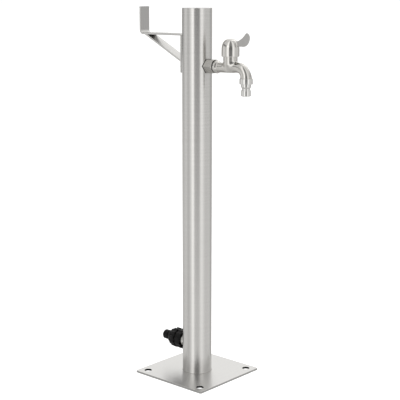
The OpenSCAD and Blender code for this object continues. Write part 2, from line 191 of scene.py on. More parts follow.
MAT["leaf"] = brushed("lever_satin", (0.50, 0.494, 0.484), 0.3, (60, 1500, 60), (30, 160, 30), spread=0.03, wear=0.03, bump=0.10)
MAT["polish"] = brushed("nut_polished", (0.68, 0.675, 0.66), 0.045, (40, 40, 2200), (20, 20, 200), spread=0.015, wear=0.012, bump=0.02)
MAT["stub"] = brushed("stub_turned", (0.70, 0.695, 0.68), 0.16, (40, 2600, 40), (20, 200, 20), spread=0.02, wear=0.03, bump=0.06)
MAT["brass"] = brushed("brass_turned", (0.74, 0.56, 0.28), 0.24, (900, 900, 900), (80, 80, 80), spread=0.05, wear=0.04, bump=0.08)


def plastic(name):
    g = Graph(name)
    fine = g.noise((1, 1, 1), 3.0, 0.6, size=2600)
    scuff = g.noise((1, 1, 1), 4.0, 0.65, size=120)
    g.set(Base_Color=g.blend(g.span(scuff, 0.4, 0.72, 0.0, 1.0), rgba((0.002, 0.002, 0.002)), rgba((0.005, 0.005, 0.0048))))
    g.set(Roughness=g.span(scuff, 0.3, 0.75, 0.10, 0.19), Normal=g.bump(fine, 0.10, 0.00006))
    g.bsdf.inputs["IOR"].default_value = 1.27
    return g.mat


def rubber(name):
    g = Graph(name)
    fine = g.noise((1, 1, 1), 4.0, 0.7, size=1700)
    dust = g.noise((1, 1, 1), 3.0, 0.6, size=240)
    g.set(Base_Color=g.blend(g.span(dust, 0.45, 0.75, 0.0, 1.0), rgba((0.004, 0.004, 0.004)), rgba((0.010, 0.010, 0.0096))))
    g.set(Roughness=g.span(fine, 0.3, 0.7, 0.52, 0.72), Normal=g.bump(fine, 0.35, 0.00012))
    g.bsdf.inputs["IOR"].default_value = 1.3
    return g.mat


def braid(name):
    """Crossed wire strands round an upright hose, made from its angle and height."""
    g = Graph(name)
    xyz = g.node("ShaderNodeSeparateXYZ")
    g.put(xyz.inputs[0], g.place())
    turn = g.maths("MULTIPLY", g.maths("ARCTAN2", xyz.outputs["Y"], xyz.outputs["X"]), 24 / (2 * math.pi))
    rise = g.maths("MULTIPLY", xyz.outputs["Z"], 380.0)
    one = g.maths("SINE", g.maths("MULTIPLY", g.maths("ADD", turn, rise), 2 * math.pi / 2))
    two = g.maths("SINE", g.maths("MULTIPLY", g.maths("SUBTRACT", turn, rise), 2 * math.pi / 2))
    weave = g.maths("MAXIMUM", g.maths("ABSOLUTE", one), g.maths("ABSOLUTE", two))
    g.set(Base_Color=g.blend(g.span(weave, 0.55, 1.0, 0.0, 1.0), rgba((0.10, 0.10, 0.10)), rgba((0.58, 0.585, 0.59))))
    g.set(Metallic=1.0, Roughness=g.span(weave, 0.5, 1.0, 0.6, 0.28), Normal=g.bump(weave, 0.8, 0.0004))
    return g.mat


def ceramic(name):
    g = Graph(name)
    fine = g.noise((1, 1, 1), 4.0, 0.6, size=2200)
    cloud = g.noise((1, 1, 1), 3.0, 0.5, size=180)
    g.set(Base_Color=g.blend(cloud, rgba((0.84, 0.83, 0.79)), rgba((0.92, 0.91, 0.88))))
    g.set(Roughness=g.span(fine, 0.3, 0.7, 0.25, 0.38), Normal=g.bump(fine, 0.08, 0.00005))
    return g.mat


def black_oxide(name):
    g = Graph(name)
    fine = g.noise((1, 1, 1), 4.0, 0.6, size=2600)
    g.set(Base_Color=g.blend(fine, rgba((0.035, 0.035, 0.036)), rgba((0.07, 0.068, 0.066))))
    g.set(Metallic=0.9, Roughness=g.span(fine, 0.3, 0.7, 0.35, 0.5), Normal=g.bump(fine, 0.12, 0.00005))
    return g.mat


MAT["plastic"] = plastic("black_moulded")
MAT["rubber"] = rubber("black_rubber")
MAT["braid"] = braid("wire_braid")
MAT["ceramic"] = ceramic("lapped_ceramic")
MAT["oxide"] = black_oxide("black_oxide")


# ------------------------------------------------------------------ mesh helpers
def make(name, verts, faces, mat, body, nodes=(), angle=32.0):
    me = bpy.data.meshes.new(name)
    me.from_pydata([tuple(v) for v in verts], [], [tuple(f) for f in faces])
    bm = bmesh.new()
    bm.from_mesh(me)
    bmesh.ops.remove_doubles(bm, verts=bm.verts, dist=2e-7)
    bmesh.ops.recalc_face_normals(bm, faces=bm.faces)
    bm.to_mesh(me)
    bm.free()
    me.update()
    return finish_piece(name, me, mat, body, nodes, angle)


def even_normals(ob):
    """Shading normals weighted by face area, so that flat faces stay flat beside their rounded edges."""
    mod = ob.modifiers.new("even", "WEIGHTED_NORMAL")
    mod.mode = "FACE_AREA"
    mod.keep_sharp = True
    bpy.context.view_layer.update()
    dg = bpy.context.evaluated_depsgraph_get()
    new = bpy.data.meshes.new_from_object(ob.evaluated_get(dg), preserve_all_data_layers=True, depsgraph=dg)
    ob.modifiers.clear()
    old, name = ob.data, ob.data.name
    ob.data = new
    bpy.data.meshes.remove(old)
    new.name = name


def finish_piece(name, me, mat, body, nodes=(), angle=32.0):
    for p in me.polygons:
        p.use_smooth = True
    me.set_sharp_from_angle(angle=math.radians(angle))
    ob = bpy.data.objects.new(name, me)
    bpy.context.scene.collection.objects.link(ob)
    if mat is not None:
        me.materials.clear()
        me.materials.append(mat)
    even_normals(ob)
    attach(ob, body)
    if nodes:
        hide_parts(*nodes)
    return ob


def arc_corners(points, n=4):
    """Closed outline with its corners rounded: points are (a, r) or (a, r, fillet)."""
    out = []
    m = len(points)
    for i in range(m):
        p = points[i]
        f = p[2] if len(p) > 2 else 0.0
        b = np.array(p[:2], float)
        if f <= 0:
            out.append(tuple(b))
            continue
        a, c = np.array(points[i - 1][:2], float), np.array(points[(i + 1) % m][:2], float)
        u, v = a - b, c - b
        lu, lv = np.linalg.norm(u), np.linalg.norm(v)
        u, v = u / lu, v / lv
        half = math.acos(max(-1.0, min(1.0, float(u @ v)))) / 2
        t = min(f / math.tan(half), 0.49 * lu, 0.49 * lv)
        rad = t * math.tan(half)
        mid = (u + v) / np.linalg.norm(u + v)
        centre = b + mid * (rad / math.sin(half))
        s, e = b + u * t - centre, b + v * t - centre
        a0, a1 = math.atan2(s[1], s[0]), math.atan2(e[1], e[0])
        d = (a1 - a0 + math.pi) % (2 * math.pi) - math.pi
        for k in range(n + 1):
            w = a0 + d * k / n
            out.append((centre[0] + rad * math.cos(w), centre[1] + rad * math.sin(w)))
    return out


AXES = {
    "Z": (np.array([1.0, 0, 0]), np.array([0, 1.0, 0]), np.array([0, 0, 1.0])),
    "Y": (np.array([1.0, 0, 0]), np.array([0, 0, 1.0]), np.array([0, 1.0, 0])),
}


def radial_mesh(stations, nth, centre, axis):
    """Rings of nth points; a station is (distance along the axis, radius or one radius per angle), all in mm."""
    e1, e2, e3 = AXES[axis]
    th = np.arange(nth) * 2 * math.pi / nth
    ring = np.outer(np.cos(th), e1) + np.outer(np.sin(th), e2)
    verts = []
    for a, r in stations:
        r = np.broadcast_to(np.asarray(r, float), (nth,))
        verts.append((np.array(centre, float) + e3 * a + ring * r[:, None]) * MM)
    k = len(stations)
    i = np.arange(nth)
    j = (i + 1) % nth
    faces = []
    for s in range(k):
        t = (s + 1) % k
        faces.append(np.stack([s * nth + i, s * nth + j, t * nth + j, t * nth + i], 1))
    return np.concatenate(verts), np.concatenate(faces)


def lathe(name, outline, centre, axis, mat, body, nodes=(), nth=128, n=4, angle=32.0):
    """Turned piece from a closed outline of (along, radius, fillet)."""
    v, f = radial_mesh(arc_corners(outline, n), nth, centre, axis)
    return make(name, v, f, mat, body, nodes, angle)


def hex_radius(nth, af, power=70.0):
    th = np.arange(nth) * 2 * math.pi / nth
    total = 0.0
    for k in range(6):
        c = np.cos(th - math.radians(30 + 60 * k))
        total = total + np.where(c > 0, c, 0.0) ** power
    return (af / 2) / total ** (1 / power)


def soft_min(a, b, k):
    h = np.clip(0.5 + 0.5 * (b - a) / k, 0, 1)
    return b * (1 - h) + a * h - k * h * (1 - h)


def soft_max(a, b, k):
    return -soft_min(-a, -b, k)


# ------------------------------------------------------------------ smooth solids from a distance function
def surface_net(fn, lo, hi, h, steps=4):
    """Quad mesh of fn = 0, with its points drawn on to the surface. Lengths in mm."""
    lo, hi = np.array(lo, float), np.array(hi, float)
    n = np.ceil((hi - lo) / h).astype(int) + 1
    ax = [lo[i] + h * np.arange(n[i]) for i in range(3)]
    grid = np.empty(tuple(n), np.float32)
    for s in range(0, n[0], 24):
        x, y, z = np.meshgrid(ax[0][s : s + 24], ax[1], ax[2], indexing="ij")
        grid[s : s + 24] = fn(np.stack([x, y, z], -1))
    inside = grid < 0
    corners = [(i, j, k) for i in (0, 1) for j in (0, 1) for k in (0, 1)]
    m = n - 1

    def at(g, c):
        return g[c[0] : c[0] + m[0], c[1] : c[1] + m[1], c[2] : c[2] + m[2]]

    count = sum(at(inside, c).astype(np.int8) for c in corners)
    active = (count > 0) & (count < 8)
    index = -np.ones(tuple(m), np.int64)
    index[active] = np.arange(active.sum())
    total = np.zeros((int(active.sum()), 3))
    hits = np.zeros(int(active.sum()))
    for a in corners:
        for d in range(3):
            if a[d]:
                continue
            b = list(a)
            b[d] = 1
            ga, gb = at(grid, a)[active], at(grid, b)[active]
            cross = (ga < 0) != (gb < 0)
            t = np.where(cross, ga / np.where(cross, ga - gb, 1), 0)
            p = np.tile(np.array(a, float), (len(ga), 1))
            p[:, d] = t
            total += np.where(cross[:, None], p, 0)
            hits += cross
    cells = np.argwhere(active)
    verts = lo + h * (cells + total / hits[:, None])
    for _ in range(steps):
        g0 = fn(verts)
        grad = np.stack([(fn(verts + e) - fn(verts - e)) / 0.08 for e in np.eye(3) * 0.04], -1)
        move = g0[:, None] * grad / np.maximum((grad**2).sum(-1), 0.2)[:, None]
        size = np.linalg.norm(move, axis=1, keepdims=True)
        verts = verts - move * np.minimum(1.0, 0.5 * h / np.maximum(size, 1e-9))
    faces = []
    for d in range(3):
        o1, o2 = [k for k in range(3) if k != d]
        sl = [slice(1, -1)] * 3
        sl[d] = slice(0, n[d] - 1)
        nx = [slice(1, -1)] * 3
        nx[d] = slice(1, n[d])
        a, b = inside[tuple(sl)], inside[tuple(nx)]
        where = np.argwhere(a != b)
        base = where.copy()
        base[:, o1] += 1
        base[:, o2] += 1
        quad = []
        for s1, s2 in ((0, 0), (1, 0), (1, 1), (0, 1)):
            c = base.copy()
            c[:, o1] -= s1
            c[:, o2] -= s2
            quad.append(index[c[:, 0], c[:, 1], c[:, 2]])
        faces.append(np.stack(quad, 1))
    return verts, np.concatenate(faces)


def length(*parts):
    return np.sqrt(sum(p * p for p in parts))


def capped(p, axis, c, r, a0, a1, fillet=0.0):
    """Cylinder along axis 0, 1 or 2 through c, from a0 to a1, with rounded rims."""
    o = [k for k in range(3) if k != axis]
    rho = length(p[..., o[0]] - c[0], p[..., o[1]] - c[1])
    dx = rho - r + fillet
    dy = np.abs(p[..., axis] - (a0 + a1) / 2) - (a1 - a0) / 2 + fillet
    return np.minimum(np.maximum(dx, dy), 0) + length(np.maximum(dx, 0), np.maximum(dy, 0)) - fillet


def swept(p, centres, radii):
    """Tube through a row of points, with its own radius at each."""
    best = None
    for a, b, ra, rb in zip(centres[:-1], centres[1:], radii[:-1], radii[1:]):
        ab = b - a
        t = np.clip(((p - a) @ ab) / (ab @ ab), 0, 1)
        d = np.linalg.norm(p - a - t[..., None] * ab, axis=-1) - (ra + (rb - ra) * t)
        best = d if best is None else np.minimum(best, d)
    return best


def spline(keys, n):
    """Catmull-Rom through the rows of keys, n steps a span."""
    k = np.array(keys, float)
    k = np.vstack([2 * k[0] - k[1], k, 2 * k[-1] - k[-2]])
    out = []
    for i in range(1, len(k) - 2):
        for s in range(n):
            t = s / n
            out.append(0.5 * (2 * k[i] + (k[i + 1] - k[i - 1]) * t + (2 * k[i - 1] - 5 * k[i] + 4 * k[i + 1] - k[i + 2]) * t**2 + (3 * k[i] - k[i - 1] - 3 * k[i + 1] + k[i + 2]) * t**3))
    out.append(k[-2])
    return np.array(out)


# ------------------------------------------------------------------ column, cap, foot
TAP_Z, HY, IN_Z = 808.0, -109.0, 78.0
NUT_Z, SPOUT_Y = 783.5, -158.7

column = lathe("column_shell", [(5, 36.5), (5, 38.0, 0.15), (948, 38.0, 0.1), (948, 36.5)], (0, 0, 0), "Z", MAT["column"], ROOT, ("column_tube",), nth=320)


def drill(ob, holes):
    """Cuts round holes: (centre mm, axis, radius mm, half length mm)."""
    for c, axis, r, half in holes:
        v, f = radial_mesh([(-half, 0.0), (-half, r), (half, r), (half, 0.0)], 96, c, axis)
        me = bpy.data.meshes.new("cutter")
        me.from_pydata([tuple(q) for q in v], [], [tuple(q) for q in f])
        bm = bmesh.new()
        bm.from_mesh(me)
        bmesh.ops.remove_doubles(bm, verts=bm.verts, dist=1e-7)
        bmesh.ops.dissolve_degenerate(bm, edges=bm.edges, dist=1e-7)
        bmesh.ops.recalc_face_normals(bm, faces=bm.faces)
        bm.to_mesh(me)
        bm.free()
        cutter = bpy.data.objects.new("cutter", me)
        bpy.context.scene.collection.objects.link(cutter)
        mod = ob.modifiers.new("hole", "BOOLEAN")
        mod.operation = "DIFFERENCE"
        mod.solver = "EXACT"
        mod.object = cutter
        bpy.context.view_layer.update()
        dg = bpy.context.evaluated_depsgraph_get()
        new = bpy.data.meshes.new_from_object(ob.evaluated_get(dg))
        ob.modifiers.clear()
        old = ob.data
        ob.data = new
        bpy.data.meshes.remove(old)
        bpy.data.objects.remove(cutter)
    for p in ob.data.polygons:
        p.use_smooth = True
    ob.data.set_sharp_from_angle(angle=math.radians(32))
    even_normals(ob)


drill(column, [((0, -37.5, TAP_Z), "Y", 10.7, 6.0), ((0, 37.5, IN_Z), "Y", 16.7, 8.0)])

lathe("cap_disc", [(936, 34.95), (936, 36.4, 0.3), (948.0, 36.4), (948.0, 38.0), (950, 38.0, 1.2), (950, 0.0), (948, 0.0), (948.0, 34.95)], (0, 0, 0), "Z", MAT["column"], ROOT, ("top_cap",), nth=192, n=5)
lathe("foot_weld", [(5.0, 38.02), (5.0, 38.85, 0.1), (5.25, 38.5, 0.2), (5.6, 38.2, 0.2), (5.9, 38.02)], (0, 0, 0), "Z", MAT["seam"], ROOT, ("base_weld",), nth=256, n=3)


def base_plate():
    cu = bpy.data.curves.new("plate_curve", "CURVE")
    cu.dimensions = "2D"
    cu.fill_mode = "BOTH"

    def loop(points):
        s = cu.splines.new("POLY")
        s.points.add(len(points) - 1)
        for q, (x, y) in zip(s.points, points):
            q.co = (x * MM, y * MM, 0, 1)
        s.use_cyclic_u = True

    outer = []
    for sx, sy, a0 in ((1, 1, 0), (-1, 1, 90), (-1, -1, 180), (1, -1, 270)):
        for k in range(9):
            a = math.radians(a0 + 90 * k / 8)
            outer.append((sx * 111 + 4 * math.cos(a), sy * 111 + 4 * math.sin(a)))
    loop(outer)
    for sx in (-1, 1):
        for sy in (-1, 1):
            loop([(sx * 92 + 9.5 * math.cos(2 * math.pi * k / 64), sy * 92 - 9.5 * math.sin(2 * math.pi * k / 64)) for k in range(64)])
    bev = 0.35
    cu.extrude = (2.5 - bev) * MM
    cu.bevel_depth = bev * MM
    cu.bevel_resolution = 2
    cu.offset = -bev * MM
    ob = bpy.data.objects.new("plate_curve", cu)
    bpy.context.scene.collection.objects.link(ob)
    bpy.context.view_layer.update()
    dg = bpy.context.evaluated_depsgraph_get()
    me = bpy.data.meshes.new_from_object(ob.evaluated_get(dg))
    bpy.data.objects.remove(ob)
    bm = bmesh.new()
    bm.from_mesh(me)
    bmesh.ops.remove_doubles(bm, verts=bm.verts, dist=1e-6)
    bmesh.ops.translate(bm, verts=bm.verts, vec=(0, 0, 2.5 * MM))
    bmesh.ops.recalc_face_normals(bm, faces=bm.faces)
    bm.to_mesh(me)
    bm.free()
    me.name = "plate_sheet"
    ob = finish_piece("plate_sheet", me, MAT["plate"], ROOT, ("base_plate",), 32)
    me = ob.data
    # the cut walls have finishes of their own: near black in the holes, which is painted shade, and grey round the
    # outside
    me.materials.append(MAT["cut"])
    me.materials.append(MAT["edge"])
    for q in me.polygons:
        x, y, z = q.center / MM
        r = math.hypot(abs(x) - 92, abs(y) - 92)
        side = abs(q.normal.z) < 0.5
        q.material_index = 1 if r < 10.0 and 0.05 < z < 4.97 else 2 if side and max(abs(x), abs(y)) > 112 else 0
    return ob


base_plate()


# ------------------------------------------------------------------ hanger
def flat_bar(name, path, width, thick, mat, nodes, fillet=0.55, ends=(0.0, 0.0)):
    """Flat bar swept along (y, z, normal angle) with softened edges. ends is not used."""
    half_w, half_t = width / 2, thick / 2
    corner = []
    for sx, sn, a0 in ((1, 1, 0), (-1, 1, 90), (-1, -1, 180), (1, -1, 270)):
        for k in range(4):
            a = math.radians(a0 + 90 * k / 3)
            corner.append((sx, sx * (half_w - fillet) + fillet * math.cos(a), sn * (half_t - fillet) + fillet * math.sin(a)))
    # one ring for each station of the path; the path's insets round the ends
    pts = [np.array(q, float) for q in path]
    verts, k = [], len(corner)
    for y, z, ang, inset in pts:
        ny, nz = math.cos(ang), math.sin(ang)
        for sx, x, m in corner:
            verts.append((np.array([x - sx * inset, y + ny * m, z + nz * m])) * MM)
    faces = []
    for s in range(len(pts) - 1):
        for i in range(k):
            j = (i + 1) % k
            faces.append((s * k + i, s * k + j, (s + 1) * k + j, (s + 1) * k + i))
    faces.append(tuple(range(k))[::-1])
    faces.append(tuple((len(pts) - 1) * k + i for i in range(k)))
    return make(name, verts, faces, mat, ROOT, nodes, 30)


def strap_path():
    """Middle line of the strap, from the foot of the back strap to the top of the upturned end: y, z, direction of its outer normal, inset of its edges."""
    out = []
    ym = 40.6
    for k in range(5):  # rounded corners at the foot
        a = math.radians(90 * k / 4)
        out.append((ym, 788.5 + 1.0 * (1 - math.cos(a)), math.pi, 1.0 * (1 - math.sin(a))))
    out.append((ym, 830.0, math.pi, 0))
    for k in range(9):  # bend at the top of the back strap: centre (45.1, 879), radius 4.5
        a = math.radians(180 - 90 * k / 8)
        out.append((45.1 + 4.5 * math.cos(a), 879 + 4.5 * math.sin(a), a, 0))
    for y in (80.0, 120.0, 150.0):
        out.append((y, 883.5, math.pi / 2, 0))
    for k in range(13):  # bend of the upturned end: centre (174.5, 893), radius 9.5; the outer normal turns to the column's side
        a = math.radians(-90 + 90 * k / 12)
        out.append((174.5 + 9.5 * math.cos(a), 893 + 9.5 * math.sin(a), a + math.pi, 0))
    out.append((184.0, 925.0, math.pi, 0))
    for k in range(6):
        a = math.radians(90 * k / 5)
        out.append((184.0, 950.0 + 2 * math.sin(a), math.pi, 2 * (1 - math.cos(a))))
    return out


bar = flat_bar("hanger_bar", strap_path(), 32, 5, MAT["hanger"], ("hanger_strap",), fillet=0.6)
# the upturned end's inner face gets a darker copy of the strap's steel: painted shade
bar.data.materials.append(MAT["hanger_dull"])
for q in bar.data.polygons:
    if q.normal.y < -0.7 and q.center.y > 0.178 and q.center.z > 0.894:
        q.material_index = 1


def brace():
    """Slanting bar, mitred to the back strap and to the underside of the arm."""
    low, high = np.array([42.7, 816.3]), np.array([169.5, 881.5])
    up_low, up_high = np.array([42.7, 821.6]), np.array([159.2, 881.5])
    f = 0.5
    verts, faces = [], []
    xs = [(-16, f), (-16 + f * 0.3, f * 0.3), (-16 + f, 0), (16 - f, 0), (16 - f * 0.3, f * 0.3), (16, f)]
    for a, b in ((low, up_low), (high, up_high)):
        d = (b - a) / np.linalg.norm(b - a)
        for x, drop in xs:
            q = a + d * drop
            verts.append(np.array([x, q[0], q[1]]) * MM)
        for x, drop in reversed(xs):
            q = b - d * drop
            verts.append(np.array([x, q[0], q[1]]) * MM)
    k = 2 * len(xs)
    for i in range(k):
        j = (i + 1) % k
        faces.append((i, j, k + j, k + i))
    faces.append(tuple(range(k))[::-1])
    faces.append(tuple(k + i for i in range(k)))
    return make("hanger_brace_bar", verts, faces, MAT["hanger"], ROOT, ("hanger_brace",), 30)


brace()


def cap_nuts():
    """Domed cap nuts: a chamfered hexagon that turns into a polished dome."""
    nth = 120
    hx = hex_radius(nth, 10.0)
    verts, faces, off = [], [], 0
    for z in (856.5, 802.5):
        st = [(43.3, 3.0), (43.3, np.minimum(hx, 5.2) - 0.25), (43.55, np.minimum(hx, 5.45)), (43.9, np.minimum(hx, 5.75)), (45.0, hx), (47.2, hx)]
        for y, cut in ((47.7, 5.7), (48.1, 5.45), (48.45, 5.1)):
            st.append((y, soft_min(hx, np.full(nth, cut), 0.15)))
        st.append((48.6, 4.6))
        for k in range(0, 13):
            a = math.radians(90 * k / 12)
            st.append((50.9 + 4.6 * math.sin(a), max(4.6 * math.cos(a), 0.0)))
        st.append((51.9, 0.0))
        st.append((51.9, 3.0))
        v, f = radial_mesh(st, nth, (0, 1.0, z), "Y")
        verts.append(v)
        faces.append(f + off)
        off += len(v)
    return make("hanger_dome_nuts", np.concatenate(verts), np.concatenate(faces), MAT["fastener"], ROOT, ("hanger_cap_nuts",), 30)


cap_nuts()


# ------------------------------------------------------------------ outlet adapter, gasket, ring
def adapter():
    nth = 240
    hx = hex_radius(nth, 33.0, 110)

    def cut(r):
        return soft_min(hx, np.full(nth, r), 0.25)

    st = [(-39.2, 6.6), (-39.2, hx - 0.4), (-39.4, hx - 0.12), (-39.8, hx), (-42.5, hx), (-50.0, hx), (-59.3, hx)]
    for y, r in ((-59.7, 18.6), (-60.1, 18.0), (-60.5, 17.4), (-60.85, 16.95), (-61.1, 16.6), (-61.2, 16.2)):
        st.append((y, cut(r)))
    st += [(-61.2, 10.5), (-45.5, 10.5), (-45.5, 6.6)]
    v, f = radial_mesh(st, nth, (0, 0, TAP_Z), "Y")
    # the root follows the round of the column
    root = v[:, 1] > -0.0405
    v[root, 1] += 0.0392 - np.sqrt(0.0392**2 - v[root, 0] ** 2)
    ob = make("adapter_hex", v, f, MAT["hex"], ROOT, (), 30)
    lathe("adapter_stub", [(-39.3, 6.5), (-39.3, 10.4), (-15, 10.4, 0.5), (-15, 6.5)], (0, 0, TAP_Z), "Y", MAT["cast"], ROOT, (), nth=96)
    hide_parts("outlet_adapter")


adapter()
lathe("tap_ring_seal", [(-63.3, 10.7), (-63.3, 16.3, 0.5), (-61.2, 16.3, 0.5), (-61.2, 10.7)], (0, 0, TAP_Z), "Y", MAT["rubber"], ROOT, ("tap_sealing_ring",), nth=128)


# ------------------------------------------------------------------ tap body
def tap_body():
    keys = [
        # y, z, radius
        (-72.0, 806.4, 12.1),
        (-99.0, 806.9, 12.7),
        (-110.0, 807.3, 12.8),
        (-121.0, 808.0, 12.7),
        (-131.5, 808.4, 12.65),
        (-140.5, 807.3, 12.9),
        (-147.8, 804.0, 12.85),
        (-153.2, 798.6, 12.85),
        (-156.4, 793.0, 13.2),
        (-158.1, 787.4, 13.9),
        (-158.7, 781.5, 14.65),
    ]
    c = spline(keys, 6)
    centres = np.stack([np.zeros(len(c)), c[:, 0], c[:, 1]], 1)
    radii = c[:, 2]
    lo, hi = (-20.0, -175.0, 774.0), (20.0, -44.5, 839.5)

    def fn(p):
        x, y, z = p[..., 0], p[..., 1], p[..., 2]
        # mouth of the barrel: a trumpet that opens on to the sealing ring
        t = np.clip((y + 75.5) / 8.0, 0, 1)
        rr = 12.1 + 4.1 * t * t * (3 - 2 * t) - 0.6 * np.clip((y + 64.1) / 0.8, 0, 1) ** 2
        mouth = np.maximum(length(x, z - (806.4 + 1.0 * t)) - rr, np.maximum(y + 63.3, -79.0 - y)) * 0.92
        # barrel and spout in one sweep
        sp = swept(p, centres, radii)
        sp = np.maximum(sp, 783.53 - z)
        tail = capped(p, 2, (0, SPOUT_Y), 13.15, 775.5, 784.0, 0.4)
        d = soft_min(mouth, sp, 1.6)
        # neck
        neck = capped(p, 2, (0, HY), 17.65, 815.0, 838.0, 0.7)
        q = np.clip((817.0 - z) / 16.0, 0, 1)
        root = np.maximum(length(x, y - HY) - (17.65 - 6.5 * q * q * (3 - 2 * q)), np.maximum(z - 818.0, 800.0 - z)) * 0.9
        neck = np.minimum(neck, root)
        d = soft_min(d, neck, 6.5)
        d = np.maximum(d, z - 838.0)
        d = np.maximum(d, -(z - 775.5))
        d = np.minimum(d, tail)
        d = np.minimum(d, capped(p, 1, (0, TAP_Z), 10.4, -64.0, -46.0, 0.5))
        # water ways
        way = capped(p, 1, (0, TAP_Z - 2.5), 6.0, -113.0, -40.0)
        way = np.minimum(way, capped(p, 2, (0, HY), 5.5, TAP_Z - 2.5, TAP_Z + 6))
        way = np.minimum(way, capped(p, 2, (0, HY), 12.0, TAP_Z + 4, TAP_Z + 22))
        way = np.minimum(way, capped(p, 2, (0, HY), 10.96, TAP_Z + 21, TAP_Z + 33))
        way = np.minimum(way, swept(p, np.array([[0, HY - 10, TAP_Z + 9.5], [0, HY - 22, TAP_Z + 1]]), [4.5, 5.0]))
        inner = centres[centres[:, 1] < HY - 20]
        way = np.minimum(way, swept(p, inner, np.full(len(inner), 6.4)))
        way = np.minimum(way, capped(p, 2, (0, SPOUT_Y), 7.5, 770.0, 786.0))
        return np.maximum(d, -way)

    v, f = surface_net(fn, lo, hi, 0.75)
    return make("tap_casting", v * MM, f, MAT["cast"], ROOT, ("tap_body",), 40)


tap_body()


# ------------------------------------------------------------------ handle: dome and leaf
def bezier(a, b, c, d, n):
    t = np.linspace(0, 1, n + 1)[:, None]
    a, b, c, d = (np.array(q, float) for q in (a, b, c, d))
    return (1 - t) ** 3 * a + 3 * (1 - t) ** 2 * t * b + 3 * (1 - t) * t * t * c + t**3 * d


LEAF = np.concatenate([
    bezier((14, 62.4), (26, 63.4), (38.3, 70.2), (47.6, 82.7), 12),
    bezier((47.6, 82.7), (50.8, 86.2), (58.6, 83.2), (59.9, 73), 12)[1:],
    bezier((59.9, 73), (60.2, 64.5), (52.5, 51.8), (41.8, 51.2), 12)[1:],
    np.array([[14.0, 51.3]]),
])


def outline_distance(u, v, poly):
    """Signed distance in the plane to a closed outline, negative inside."""
    best = np.full(u.shape, 1e9)
    inside = np.zeros(u.shape, bool)
    for (ax, ay), (bx, by) in zip(poly, np.roll(poly, -1, 0)):
        ex, ey = bx - ax, by - ay
        wx, wy = u - ax, v - ay
        t = np.clip((wx * ex + wy * ey) / (ex * ex + ey * ey), 0, 1)
        best = np.minimum(best, (wx - ex * t) ** 2 + (wy - ey * t) ** 2)
        cross = (ay > v) != (by > v)
        with np.errstate(divide="ignore", invalid="ignore"):
            inside ^= cross & (u < (bx - ax) * (v - ay) / (by - ay if by != ay else 1e-9) + ax)
    d = np.sqrt(best)
    return np.where(inside, -d, d)


def dome_distance(rho, z, a, b, base, foot, fillet):
    """Upright shell of radius a from foot to base, closed by a full-shouldered dome of height b."""
    zz = z - base
    n = 2.44
    u, w = np.maximum(rho / a, 1e-6), np.maximum(zz / b, 1e-6)
    k0 = (u**n + w**n) ** (1 / n)
    slope = k0 ** (1 - n) * length(u ** (n - 1) / a, w ** (n - 1) / b)
    top = (k0 - 1) / np.maximum(slope, 1e-6)
    side = rho - a
    d = np.where(zz > 0, top, side)
    low = foot - z
    dx, dy = d + fillet, low + fillet
    return np.minimum(np.maximum(dx, dy), 0) + length(np.maximum(dx, 0), np.maximum(dy, 0)) - fillet


def handle():
    lo, hi = (-24.5, -171.5, 832.5), (24.5, -84.0, 894.5)

    def fn(p):
        x, y, z = p[..., 0], p[..., 1] - HY, p[..., 2]
        rho = length(x, y)
        d = dome_distance(rho, z, 22.08, 28.9, 849.0, 834.4, 0.7)
        near = -y > 8
        leaf = np.full(x.shape, 50.0)
        if near.any():
            u, w = -y[near], z[near] - TAP_Z
            flat = outline_distance(u, w, LEAF)
            t = 2.1 - 0.55 * np.clip((u - 24) / 34, 0, 1)
            r = 1.1
            a, b = flat + r, np.abs(x[near]) - t + r
            leaf[near] = np.minimum(np.maximum(a, b), 0) + length(np.maximum(a, 0), np.maximum(b, 0)) - r
        d = soft_min(d, leaf, 2.2)
        hollow = dome_distance(rho, z, 20.1, 25.9, 849.0, 820.0, 0.0)
        hub = capped(p, 2, (0, HY), 8.4, TAP_Z + 44.9, TAP_Z + 75, 0.4)
        boss = capped(p, 1, (0, TAP_Z + 50), 4.4, HY, HY + 24)
        hollow = np.maximum(hollow, -np.minimum(hub, boss))
        sock = np.maximum(np.maximum(np.abs(x) - 3.45, np.abs(y) - 3.45), np.maximum(z - (TAP_Z + 53.7), TAP_Z + 40 - z))
        hole = capped(p, 1, (0, TAP_Z + 50), 2.06, HY + 3, HY + 26)
        return np.maximum(d, -np.minimum(np.minimum(hollow, sock), hole))

    v, f = surface_net(fn, lo, hi, 0.7)
    ob = make("handle_dome_and_leaf", v * MM, f, MAT["dome"], TURN, ("tap_handle",), 40)
    ob.data.materials.append(MAT["leaf"])
    co = np.empty(len(ob.data.vertices) * 3)
    ob.data.vertices.foreach_get("co", co)
    co = co.reshape(-1, 3) / MM
    mid = np.array([co[list(q.vertices)].mean(0) for q in ob.data.polygons])
    on_leaf = (length(mid[:, 0], mid[:, 1] - HY) > 23.0) & (mid[:, 1] < HY - 20)
    ob.data.polygons.foreach_set("material_index", on_leaf.astype(np.int32))
    return ob


handle()


